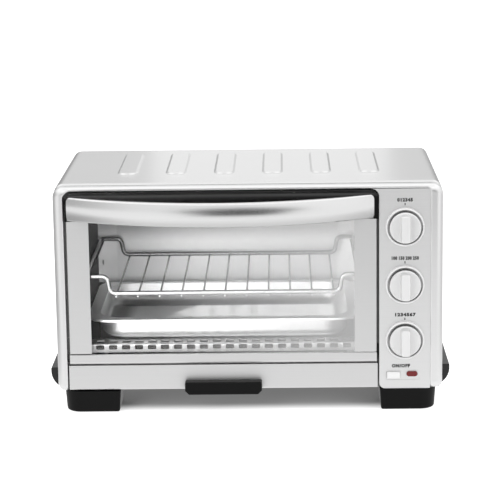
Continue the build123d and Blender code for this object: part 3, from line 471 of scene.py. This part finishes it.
def moulded_plastic(name, dark, light, rough, relief):
    """Moulded plastic with a fine texture: colour from dark to light, range of roughness, relief."""
    made, tree, shader = new_material(name)
    grain = use_group(tree, MOULDED)
    tree.links.new(tint(tree, grain["Cloud"], dark, light), shader.inputs["Base Color"])
    tree.links.new(spread(tree, grain["Cloud"], *rough), shader.inputs["Roughness"])
    bump(tree, shader, grain["Speckle"], relief, GRAIN_DEPTH)
    return made


def grey_plastic(name, tone, rough, relief):
    """Moulded plastic without colour: ranges of tone and roughness, and relief."""
    return moulded_plastic(name, *map(grey, tone), rough, relief)


def rolled_steel(name, tone, rough, marked):
    """Plain or coated sheet: ranges of tone and roughness, and how far handling marks darken it."""
    made, tree, shader = new_material(name)
    sheet = use_group(tree, ROLLED)
    set_plain(made, "Metallic", 1.0)
    darkening = math_node(tree, "MULTIPLY", sheet["Mark"], marked)
    mottled = math_node(tree, "SUBTRACT", sheet["Mottle"], darkening)
    tree.links.new(tint(tree, mottled, *map(grey, tone)), shader.inputs["Base Color"])
    tree.links.new(spread(tree, sheet["Mottle"], *rough), shader.inputs["Roughness"])
    bump(tree, shader, sheet["Mottle"], SHEET_RELIEF, SHEET_DEPTH)
    return made


def ramp_over(tree, corner, heading, reach, low=0.0, high=1.0):
    """A smooth step over a piece along a heading; its reach counts from a corner, in millimetres."""
    origin = corner.dot(Vector(heading))
    start, end = ((origin + offset) * MM for offset in reach)
    return ramp(tree, along(tree, heading), start, end, low, high)


def polish(made, corner, heading, reach, coat_roughness):
    """Give a plastic a clear coat that comes in along a heading, from a reach's start to its end."""
    tree = made.node_tree
    set_plain(made, "Coat Roughness", coat_roughness)
    coat = ramp_over(tree, corner, heading, reach)
    tree.links.new(coat, principled(made).inputs["Coat Weight"])


def paint_shade(made, corner, heading, reach, darkest):
    """Darken a finish along a heading, from a reach's start to its end, as painted shade."""
    tree = made.node_tree
    base = principled(made).inputs["Base Color"]
    kept = ramp_over(tree, corner, heading, reach, 1.0, darkest)
    shaded = add(tree, "ShaderNodeMix", data_type="RGBA", blend_type="MULTIPLY")
    shaded.inputs["Factor"].default_value = 1.0
    tree.links.new(base.links[0].from_socket, shaded.inputs["A"])
    tree.links.new(kept, shaded.inputs["B"])
    tree.links.new(shaded.outputs["Result"], base)


def scour(made, corner, heading, reach, roughest, mirroring):
    """Roughen and dull a metal up to a reach's start; it is as it was from the reach's end on."""
    tree = made.node_tree
    shader = principled(made)
    smooth = shader.inputs["Roughness"].links[0].from_socket
    scratched = ramp_over(tree, corner, heading, reach, roughest, 0.0)
    tree.links.new(math_node(tree, "MAXIMUM", smooth, scratched), shader.inputs["Roughness"])
    bright = ramp_over(tree, corner, heading, reach, mirroring, 1.0)
    tree.links.new(bright, shader.inputs["Metallic"])


def door_pane(name):
    """Clear tempered glass; its outer face carries a painted reflection that grows towards the right.

    Lamps and even light pass straight through it to the cavity.
    """
    made, tree, shader = new_material(name)
    where = object_place(tree)
    smear = noise(tree, stretched(tree, where, GLASS_SMEARS), detail=4.0, rough=0.6)
    set_plain(made, "Base Color", (*grey(GLASS_TINT), 1))
    set_plain(made, "Transmission Weight", 1.0)
    set_plain(made, "IOR", GLASS_IOR)
    tree.links.new(spread(tree, smear, 0.0, GLASS_ROUGHEST), shader.inputs["Roughness"])
    # A glossy layer over the outer face, stronger towards the right: painted reflection.
    reflection_colour = (*grey(REFLECTION_TINT), 1)
    painted_reflection = add(tree, "ShaderNodeBsdfAnisotropic", Color=reflection_colour, Roughness=REFLECTION_ROUGHNESS)
    start, end = ((high_of("door_glass").x + offset) * MM for offset in REFLECTION_ACROSS)
    across = add(tree, "ShaderNodeMapRange", From_Min=start, From_Max=end, To_Max=REFLECTION_SHARE)
    tree.links.new(axes(tree, where)["X"], across.inputs["Value"])
    inner = add(tree, "ShaderNodeNewGeometry").outputs["Backfacing"]
    outer = math_node(tree, "SUBTRACT", 1.0, inner)
    reflecting = math_node(tree, "MULTIPLY", across.outputs["Result"], outer)
    glass = mix_shaders(tree, reflecting, shader.outputs[0], painted_reflection.outputs[0])
    clear = add(tree, "ShaderNodeBsdfTransparent", Color=(*grey(GLASS_SHADE), 1))
    path = add(tree, "ShaderNodeLightPath").outputs
    passing = math_node(tree, "MAXIMUM", path["Is Shadow Ray"], path["Is Diffuse Ray"])
    wear_shader(tree, mix_shaders(tree, passing, glass, clear.outputs[0]))
    return made


# Steel outside: wrap, trim, panels, door and handle, and plain steel for back, base, screws and shafts
wrap_steel = brushed_steel("wrap_steel", tone=(0.72, 0.82), rough=(0.22, 0.30), relief=0.06)
trim_steel = brushed_steel("trim_steel", tone=(0.82, 0.90), rough=(0.32, 0.40), relief=0.04)
panel_steel = brushed_steel("panel_steel", tone=(0.80, 0.88), rough=(0.40, 0.50), relief=0.08)
door_steel = brushed_steel("door_steel", tone=(0.72, 0.80), rough=(0.40, 0.50), relief=0.08)
handle_steel = brushed_steel("handle_steel", tone=(0.76, 0.84), rough=(0.20, 0.26), relief=0.03)
# The handle darkens towards its lower edge: painted shade.
paint_shade(handle_steel, low_of("door_handle"), DOWN, HANDLE_LOWER_EDGE, darkest=0.78)
plain_steel = rolled_steel("plain_steel", tone=(0.40, 0.50), rough=(0.36, 0.50), marked=0.1)

# Black plastic: feet and tray pull, side bumpers, handle base with its polished upper edge
black_plastic = grey_plastic("black_plastic", tone=(0.003, 0.006), rough=(0.38, 0.50), relief=0.10)
set_plain(black_plastic, "Specular IOR Level", 0.14)
bumper_plastic = grey_plastic("bumper_plastic", tone=(0.003, 0.006), rough=(0.30, 0.40), relief=0.08)
base_plastic = grey_plastic("base_plastic", tone=(0.004, 0.008), rough=(0.30, 0.40), relief=0.06)
set_plain(base_plastic, "Specular IOR Level", 0.08)
polish(base_plastic, high_of("handle_base"), UP, BASE_UPPER_EDGE, coat_roughness=0.3)

# Controls: bezels, knobs whose skirts are darkened behind their faces as painted shade, button, lens and
# print
bezel_silver = grey_plastic("bezel_silver", tone=(0.92, 0.96), rough=(0.30, 0.38), relief=0.02)
set_plain(bezel_silver, "Metallic", 0.3)
knob_silver = grey_plastic("knob_silver", tone=(0.84, 0.90), rough=(0.32, 0.42), relief=0.04)
set_plain(knob_silver, "Metallic", 0.4)
# Knob skirts darken behind their faces: painted shade in the gap to the bezel.
paint_shade(knob_silver, low_of("function_knob"), BACK, KNOB_SKIRT, darkest=0.2)
button_white = grey_plastic("button_white", tone=(0.90, 0.95), rough=(0.28, 0.36), relief=0.04)
lamp_red = moulded_plastic(
    "lamp_red", dark=(0.13, 0.004, 0.006), light=(0.2, 0.008, 0.01), rough=(0.12, 0.2), relief=0.03
)
ink = grey_plastic("ink", tone=(0.004, 0.008), rough=(0.6, 0.7), relief=0.02)

# Cavity: walls, rack, pan, guards, tray, heaters and glass
cavity_steel = rolled_steel("cavity_steel", tone=(0.76, 0.86), rough=(0.44, 0.56), marked=0.12)
# Walls and roof darken towards the top, under the door handle: painted shade.
paint_shade(cavity_steel, low_of("cavity_roof"), UP, CAVITY_TOP, darkest=0.45)
# The left wall is near black, unlike the right one: painted shade on the wall that faces away from the key
# light.
left_wall_shade = grey_plastic("left_wall_shade", tone=(0.035, 0.06), rough=(0.50, 0.65), relief=0.05)
set_plain(left_wall_shade, "Specular IOR Level", 0.1)
rack_chrome = rolled_steel("rack_chrome", tone=(0.46, 0.56), rough=(0.20, 0.28), marked=0.05)
# The rack darkens behind its front wire: painted shade.
paint_shade(rack_chrome, low_of("wire_rack"), BACK, BEHIND_RACK_FRONT, darkest=0.5)
pan_steel = rolled_steel("pan_steel", tone=(0.84, 0.94), rough=(0.42, 0.52), marked=0.12)
# The pan's far wall darkens towards its foot: painted shade.
paint_shade(pan_steel, high_of("baking_pan"), PAN_FOOT_HEADING, PAN_FOOT, darkest=0.24)
# The pan darkens towards its left end and bottom: painted shade.
paint_shade(pan_steel, low_of("baking_pan"), PAN_LEFT_HEADING, PAN_LEFT_END, darkest=0.3)
scour(pan_steel, low_of("baking_pan"), UP, PAN_FLOOR, roughest=0.8, mirroring=0.2)
guard_steel = rolled_steel("guard_steel", tone=(0.42, 0.54), rough=(0.36, 0.48), marked=0.12)
# The crumb tray is near black: painted shade seen through the guard's holes.
tray_steel = rolled_steel("tray_steel", tone=(0.06, 0.09), rough=(0.40, 0.55), marked=0.12)
# The heater tubes are dark grey: painted shade under the guards and the roof.
quartz = moulded_plastic(
    "quartz", dark=(0.07, 0.067, 0.064), light=(0.11, 0.105, 0.10), rough=(0.2, 0.35), relief=0.05
)
ceramic = moulded_plastic(
    "ceramic", dark=(0.66, 0.63, 0.55), light=(0.74, 0.71, 0.64), rough=(0.25, 0.4), relief=0.05
)
pane = door_pane("door_pane")

# Hidden structure and control gear; the front plate and hinge parts are darkened as painted shade in the
# gaps round the door
# The front plate is darkened so the gaps round the door show painted shade.
plate_steel = rolled_steel("plate_steel", tone=(0.22, 0.30), rough=(0.40, 0.55), marked=0.1)
# Hinge brackets and pins are near black: painted shade in the gap beside the door.
dark_steel = rolled_steel("dark_steel", tone=(0.05, 0.08), rough=(0.45, 0.60), marked=0.1)
inner_plastic = grey_plastic("inner_plastic", tone=(0.02, 0.035), rough=(0.40, 0.55), relief=0.12)
rubber = grey_plastic("rubber", tone=(0.012, 0.02), rough=(0.60, 0.75), relief=0.15)

FINISHES = {
    wrap_steel: ["outer_shell"],
    trim_steel: ["front_trim"],
    panel_steel: ["control_panel"],
    door_steel: ["left_door_stile", "right_door_stile", "bottom_door_rail", "lower_front_panel"],
    handle_steel: ["door_handle"],
    plain_steel: [
        "rear_panel",
        "base_plate",
        "heat_shield",
        "handle_screws",
        "cover_screws",
        "control_nuts",
        "thermal_cutout",
        "function_shaft",
        "temperature_shaft",
        "shade_shaft",
    ],
    black_plastic: [
        "crumb_tray_handle",
        "front_left_foot",
        "front_right_foot",
        "rear_left_foot",
        "rear_right_foot",
    ],
    bumper_plastic: ["left_side_bumper", "right_side_bumper"],
    base_plastic: ["handle_base"],
    bezel_silver: ["knob_bezels"],
    knob_silver: ["function_knob", "temperature_knob", "shade_knob"],
    button_white: ["start_button"],
    lamp_red: ["indicator_lens"],
    cavity_steel: ["cavity_back", "cavity_right_wall", "cavity_roof"],
    left_wall_shade: ["cavity_left_wall"],
    rack_chrome: ["wire_rack"],
    pan_steel: ["baking_pan"],
    guard_steel: ["front_element_guard", "rear_element_guard"],
    tray_steel: ["crumb_tray"],
    quartz: ["upper_front_heater", "upper_rear_heater", "lower_front_heater", "lower_rear_heater"],
    ceramic: ["heater_end_caps"],
    pane: ["door_glass"],
    plate_steel: ["front_plate"],
    dark_steel: ["left_hinge_bracket", "right_hinge_bracket", "door_hinge_pins"],
    inner_plastic: [
        "function_switch",
        "thermostat",
        "shade_timer",
        "start_switch",
        "switch_carrier",
        "indicator_lamp",
        "terminal_block",
    ],
    rubber: ["cord_bushing"],
}


def dress(piece, finish):
    """Give a piece one finish all over."""
    piece.data.materials.clear()
    piece.data.materials.append(finish)


def dress_nodes():
    """Give every CAD piece its finish."""
    for finish, names in FINISHES.items():
        for name in names:
            dress(nodes[name], finish)


def deselect_all():
    """Leave nothing selected, so that the next operator acts on its own piece."""
    bpy.ops.object.select_all(action="DESELECT")


def printed(text, place, width):
    """Bold printed characters facing the front at a place, as a flat mesh; sizes in millimetres."""
    deselect_all()
    bpy.ops.object.text_add(location=Vector(place) * MM, rotation=UPRIGHT)
    label = bpy.context.object
    label.data.body = text
    label.data.size = 1.0
    label.data.offset = LETTER_BOLDNESS
    label.data.space_character = LETTER_SPACING
    label.data.space_word = WORD_SPACING
    label.data.align_x = "CENTER"
    label.data.align_y = "CENTER"
    label.data.resolution_u = LETTER_CURVE_STEPS
    bpy.ops.object.convert(target="MESH")
    label = bpy.context.object
    label.scale = (width * MM / label.dimensions.x, INK_HEIGHT * MM / label.dimensions.y, 1)
    return label


def tick(place):
    """A short printed index line facing the front at a place in millimetres."""
    deselect_all()
    bpy.ops.mesh.primitive_plane_add(size=MM, location=Vector(place) * MM, rotation=UPRIGHT)
    line = bpy.context.object
    line.scale = (*TICK_SIZE, 1)
    return line


def print_panel():
    """Generic dial numbers, index lines and button words on the control panel, as one piece."""
    ink_y = low_of("control_panel").y - INK_LIFT
    dial_x = middle_of("knob_bezels").x
    marks = []
    for knob, (numbers, width, numbers_rise, tick_rise) in DIAL_PRINT.items():
        dial_z = middle_of(knob).z
        marks.append(printed(numbers, (dial_x, ink_y, dial_z + numbers_rise), width))
        marks.append(tick((dial_x, ink_y, dial_z + tick_rise)))
    words, width, words_aside, words_rise = BUTTON_PRINT
    button = middle_of("start_button")
    marks.append(printed(words, (button.x + words_aside, ink_y, button.z + words_rise), width))
    deselect_all()
    for mark in marks:
        mark.select_set(True)
    bpy.context.view_layer.objects.active = marks[0]
    bpy.ops.object.join()
    bpy.ops.object.transform_apply(location=True, rotation=True, scale=True)
    panel_print = bpy.context.object
    panel_print.name = "panel_print"
    panel_print.data.name = "panel_print"
    dress(panel_print, ink)
    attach(panel_print, "oven")


def open_floor(tree, x, y):
    """Mask of the floor: 1 out in the open, falling to 0 under the oven."""
    half_width = (high_of("outer_shell").x - low_of("outer_shell").x) / 2
    front = low_of("front_trim").y - SHADE_AHEAD
    back = high_of("outer_shell").y + SHADE_BEHIND
    in_width = math_node(tree, "SUBTRACT", half_width * MM, math_node(tree, "ABSOLUTE", x))
    from_middle = math_node(tree, "SUBTRACT", y, (front + back) / 2 * MM)
    off_middle = math_node(tree, "ABSOLUTE", from_middle)
    in_depth = math_node(tree, "SUBTRACT", (back - front) / 2 * MM, off_middle)
    covered = math_node(tree, "MINIMUM", in_width, in_depth)
    return ramp(tree, covered, 0.0, SHADE_FADE * MM, 1.0, 0.0)


def mirrored_floor(tree, x, y):
    """Brightness of the floor in metal: dim beside the oven, and dark far out in front of it."""
    ahead = math_node(tree, "MULTIPLY", y, -1.0)
    slant = math_node(tree, "DIVIDE", x, math_node(tree, "MAXIMUM", ahead, NEAREST_AHEAD))
    off_patch = math_node(tree, "ABSOLUTE", math_node(tree, "SUBTRACT", slant, DARK_SLANT))
    in_patch = ramp(tree, off_patch, *DARK_WIDTH, 1.0, 0.0)
    unlit = math_node(tree, "MULTIPLY", in_patch, ramp(tree, ahead, *DARK_AHEAD))
    behind_front = ramp(tree, y, *BEHIND_FRONT)
    far_left = ramp(tree, x, -BESIDE_FULL, -BESIDE_FROM, 1.0, 0.0)
    far_right = ramp(tree, x, BESIDE_FROM, BESIDE_FULL)
    level = FLOOR_BRIGHT
    for far, dimmed in ((far_left, FLOOR_LEFT), (far_right, FLOOR_RIGHT)):
        level = blend(tree, math_node(tree, "MULTIPLY", far, behind_front), level, dimmed)
    return blend(tree, unlit, level, FLOOR_DARK)


def make_floor():
    """Pale floor: white to the eye round the oven, shaded under it by the lamps and by painted shadow in its
    colour, with a brightness for mirrors.
    """
    deselect_all()
    bpy.ops.mesh.primitive_plane_add(size=FLOOR_SIZE, location=(0, 0, 0))
    floor = bpy.context.object
    floor.name = "floor"
    made, tree, shader = new_material("pale_floor")
    made.cycles.emission_sampling = "NONE"
    set_plain(made, "Roughness", FLOOR_ROUGHNESS)
    set_plain(made, "Specular IOR Level", FLOOR_SPECULAR)
    set_plain(made, "Emission Color", WHITE)
    place = axes(tree, object_place(tree))
    path = add(tree, "ShaderNodeLightPath").outputs
    white = open_floor(tree, place["X"], place["Y"])
    # The floor's colour darkens under the oven: painted shadow, added to the shadow the lamps cast.
    colour = tint(tree, white, grey(FLOOR_SHADED), grey(FLOOR_PALE))
    tree.links.new(colour, shader.inputs["Base Color"])
    seen_white = math_node(tree, "MULTIPLY", white, path["Is Camera Ray"])
    tree.links.new(seen_white, shader.inputs["Emission Strength"])
    mirrored = mirrored_floor(tree, place["X"], place["Y"])
    within = ramp(tree, place["X"], *INSIDE_FLOOR_X, *INSIDE_FLOOR)
    glow = add(tree, "ShaderNodeEmission", Color=WHITE)
    tree.links.new(blend(tree, path["Is Transmission Ray"], mirrored, within), glow.inputs["Strength"])
    bounced = math_node(tree, "MAXIMUM", path["Is Glossy Ray"], path["Is Transmission Ray"])
    wear_shader(tree, mix_shaders(tree, bounced, shader.outputs[0], glow.outputs[0]))
    floor.data.materials.append(made)


def zone(tree, aim, heading, cone):
    """Mask of a part of the surround: 1 round a heading, 0 outside a cone given as two cosines."""
    return ramp(tree, towards(tree, aim, heading), *cone)


def mirrored_studio(tree, aim):
    """Brightness of the surround in metal: a studio that is bright above and dark behind the camera."""
    backdrop = ramp(tree, axes(tree, aim)["Z"], *BACKDROP_RISE, *BACKDROP_LEVELS)
    studio = blend(tree, zone(tree, aim, BACKDROP_HEADING, BACKDROP_CONE), STUDIO, backdrop)
    for heading, cone, level in STUDIO_ZONES.values():
        studio = blend(tree, zone(tree, aim, heading, cone), studio, level)
    flattened = stretched(tree, aim, (1, 1, DARK_FLATNESS))
    return blend(tree, zone(tree, flattened, DARK_HEADING, DARK_CONE), studio, STUDIO_DARK)


def make_world():
    """Surround: white to the eye, even for dull surfaces, a studio in metal, its own level through glass."""
    world = bpy.data.worlds.new("studio")
    bpy.context.scene.world = world
    world.use_nodes = True
    world.cycles.sampling_method = "NONE"
    tree = world.node_tree
    tree.nodes.clear()
    out = tree.nodes.new("ShaderNodeOutputWorld")
    aim = add(tree, "ShaderNodeTexCoord").outputs["Generated"]
    path = add(tree, "ShaderNodeLightPath").outputs
    within = blend(tree, zone(tree, aim, INSIDE_HEADING, INSIDE_CONE), INSIDE_DIM, INSIDE_BRIGHT)
    level = blend(tree, path["Is Glossy Ray"], AMBIENT, mirrored_studio(tree, aim))
    level = blend(tree, path["Is Transmission Ray"], level, within)
    level = blend(tree, path["Is Camera Ray"], level, 1.0)
    light = add(tree, "ShaderNodeBackground", Color=WHITE)
    tree.links.new(level, light.inputs["Strength"])
    tree.links.new(light.outputs[0], out.inputs["Surface"])


def soft_box(name, place, aim, size, power, mirrored=False, fan=180):
    """A soft studio lamp at a place, aimed at a point, with a width and height, all in metres.

    Its light fans out over an angle in degrees, and metal may mirror it.
    """
    lamp = bpy.data.lights.new(name, "AREA")
    lamp.shape = "RECTANGLE"
    lamp.size, lamp.size_y = size
    lamp.energy = power
    lamp.spread = math.radians(fan)
    box = bpy.data.objects.new(name, lamp)
    bpy.context.scene.collection.objects.link(box)
    box.location = place
    box.rotation_euler = (Vector(aim) - Vector(place)).to_track_quat("-Z", "Y").to_euler()
    box.visible_camera = False
    box.visible_glossy = mirrored


def light_studio():
    """Soft boxes above, front left and front right, a narrow one for the pan, two behind for the top."""
    oven = (0, 0, 0.12)
    pan = (0.02, 0.05, 0.08)
    top = (0.03, 0, 0.25)
    soft_box("top_box", (0.1, 0.1, 2.3), aim=(0, 0, 0.1), size=(2.0, 1.6), power=12)
    soft_box("key_box", (-1.2, -2.0, 0.9), aim=oven, size=(1.2, 1.3), power=25)
    soft_box("fill_box", (1.6, -1.6, 0.8), aim=oven, size=(1.2, 1.3), power=14)
    soft_box("door_box", (-0.7, -1.2, 0.8), aim=pan, size=(0.2, 0.12), power=0.22, fan=4)
    soft_box("back_box", (0.03, 0.75, 0.42), aim=top, size=(0.72, 0.3), power=0.13, mirrored=True)
    soft_box("back_glow", (0.02, 0.73, 0.42), aim=top, size=(0.34, 0.3), power=0.08, mirrored=True)


place_camera()
make_world()
light_studio()
make_floor()
dress_nodes()
print_panel()

bpy.context.scene.view_settings.view_transform = "Standard"
